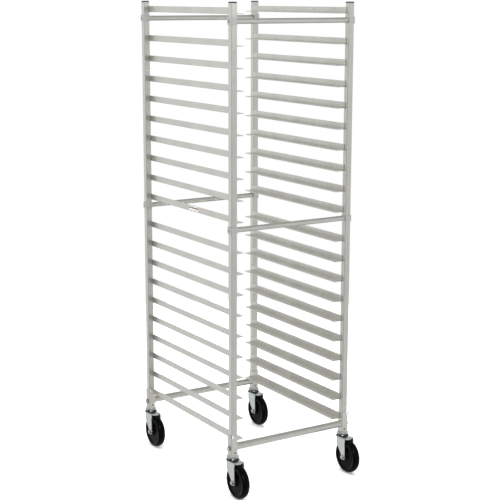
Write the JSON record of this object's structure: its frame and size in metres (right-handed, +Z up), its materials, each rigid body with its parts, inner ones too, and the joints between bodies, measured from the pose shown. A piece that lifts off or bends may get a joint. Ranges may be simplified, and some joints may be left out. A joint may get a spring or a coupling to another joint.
{
  "type": "sheet pan rack",
  "caption": "Tall open aluminium sheet pan rack on swivel casters: square uprights, round cross braces and facing angle ledges that pans slide onto from either end.",
  "frame": {"origin": "on the floor, midway between the four wheel axles, which is the middle of the bounding box", "axes": "+X to the right across the width seen from the front, +Y from front to back along the ledges, +Z up"},
  "size_m": [0.5484, 0.7642, 1.766],
  "materials": {
    "frame_aluminium": "satin mill finish",
    "ledge_aluminium": "satin extruded",
    "zinc_fork": "bright zinc plate",
    "black_wheel": "semi-gloss hard rubber"
  },
  "bodies": {
    "frame": {"upright_front_left": "frame_aluminium", "upright_front_right": "frame_aluminium", "upright_back_left": "frame_aluminium", "upright_back_right": "frame_aluminium", "top_brace_front": "frame_aluminium", "mid_brace_front": "frame_aluminium", "lower_brace_front": "frame_aluminium", "top_brace_back": "frame_aluminium", "mid_brace_back": "frame_aluminium", "lower_brace_back": "frame_aluminium", "ledge_left_01": "ledge_aluminium", "ledge_left_02": "ledge_aluminium", "ledge_left_03": "ledge_aluminium", "ledge_left_04": "ledge_aluminium", "ledge_left_05": "ledge_aluminium", "ledge_left_06": "ledge_aluminium", "ledge_left_07": "ledge_aluminium", "ledge_left_08": "ledge_aluminium", "ledge_left_09": "ledge_aluminium", "ledge_left_10": "ledge_aluminium", "ledge_left_11": "ledge_aluminium", "ledge_left_12": "ledge_aluminium", "ledge_left_13": "ledge_aluminium", "ledge_left_14": "ledge_aluminium", "ledge_left_15": "ledge_aluminium", "ledge_left_16": "ledge_aluminium", "ledge_left_17": "ledge_aluminium", "ledge_left_18": "ledge_aluminium", "ledge_left_19": "ledge_aluminium", "ledge_left_20": "ledge_aluminium", "ledge_right_01": "ledge_aluminium", "ledge_right_02": "ledge_aluminium", "ledge_right_03": "ledge_aluminium", "ledge_right_04": "ledge_aluminium", "ledge_right_05": "ledge_aluminium", "ledge_right_06": "ledge_aluminium", "ledge_right_07": "ledge_aluminium", "ledge_right_08": "ledge_aluminium", "ledge_right_09": "ledge_aluminium", "ledge_right_10": "ledge_aluminium", "ledge_right_11": "ledge_aluminium", "ledge_right_12": "ledge_aluminium", "ledge_right_13": "ledge_aluminium", "ledge_right_14": "ledge_aluminium", "ledge_right_15": "ledge_aluminium", "ledge_right_16": "ledge_aluminium", "ledge_right_17": "ledge_aluminium", "ledge_right_18": "ledge_aluminium", "ledge_right_19": "ledge_aluminium", "ledge_right_20": "ledge_aluminium"},
    "caster_front_left": {"caster_fork_front_left": "zinc_fork"},
    "wheel_front_left": {"caster_wheel_front_left": "black_wheel"},
    "caster_front_right": {"caster_fork_front_right": "zinc_fork"},
    "wheel_front_right": {"caster_wheel_front_right": "black_wheel"},
    "caster_back_left": {"caster_fork_back_left": "zinc_fork"},
    "wheel_back_left": {"caster_wheel_back_left": "black_wheel"},
    "caster_back_right": {"caster_fork_back_right": "zinc_fork"},
    "wheel_back_right": {"caster_wheel_back_right": "black_wheel"}
  },
  "joints": [
    {"name": "swivel_front_left", "type": "hinge", "parent": "frame", "child": "caster_front_left", "pos_m": [-0.2459, -0.2829, 0.145], "axis": [0, 0, 1], "continuous": true},
    {"name": "roll_front_left", "type": "hinge", "parent": "caster_front_left", "child": "wheel_front_left", "pos_m": [-0.2459, -0.3189, 0.06319], "axis": [1, 0, 0], "continuous": true},
    {"name": "swivel_front_right", "type": "hinge", "parent": "frame", "child": "caster_front_right", "pos_m": [0.2459, -0.2829, 0.145], "axis": [0, 0, 1], "continuous": true},
    {"name": "roll_front_right", "type": "hinge", "parent": "caster_front_right", "child": "wheel_front_right", "pos_m": [0.2459, -0.3189, 0.06319], "axis": [1, 0, 0], "continuous": true},
    {"name": "swivel_back_left", "type": "hinge", "parent": "frame", "child": "caster_back_left", "pos_m": [-0.2459, 0.3549, 0.145], "axis": [0, 0, 1], "continuous": true},
    {"name": "roll_back_left", "type": "hinge", "parent": "caster_back_left", "child": "wheel_back_left", "pos_m": [-0.2459, 0.3189, 0.06319], "axis": [1, 0, 0], "continuous": true},
    {"name": "swivel_back_right", "type": "hinge", "parent": "frame", "child": "caster_back_right", "pos_m": [0.2459, 0.3549, 0.145], "axis": [0, 0, 1], "continuous": true},
    {"name": "roll_back_right", "type": "hinge", "parent": "caster_back_right", "child": "wheel_back_right", "pos_m": [0.2459, 0.3189, 0.06319], "axis": [1, 0, 0], "continuous": true}
  ]
}
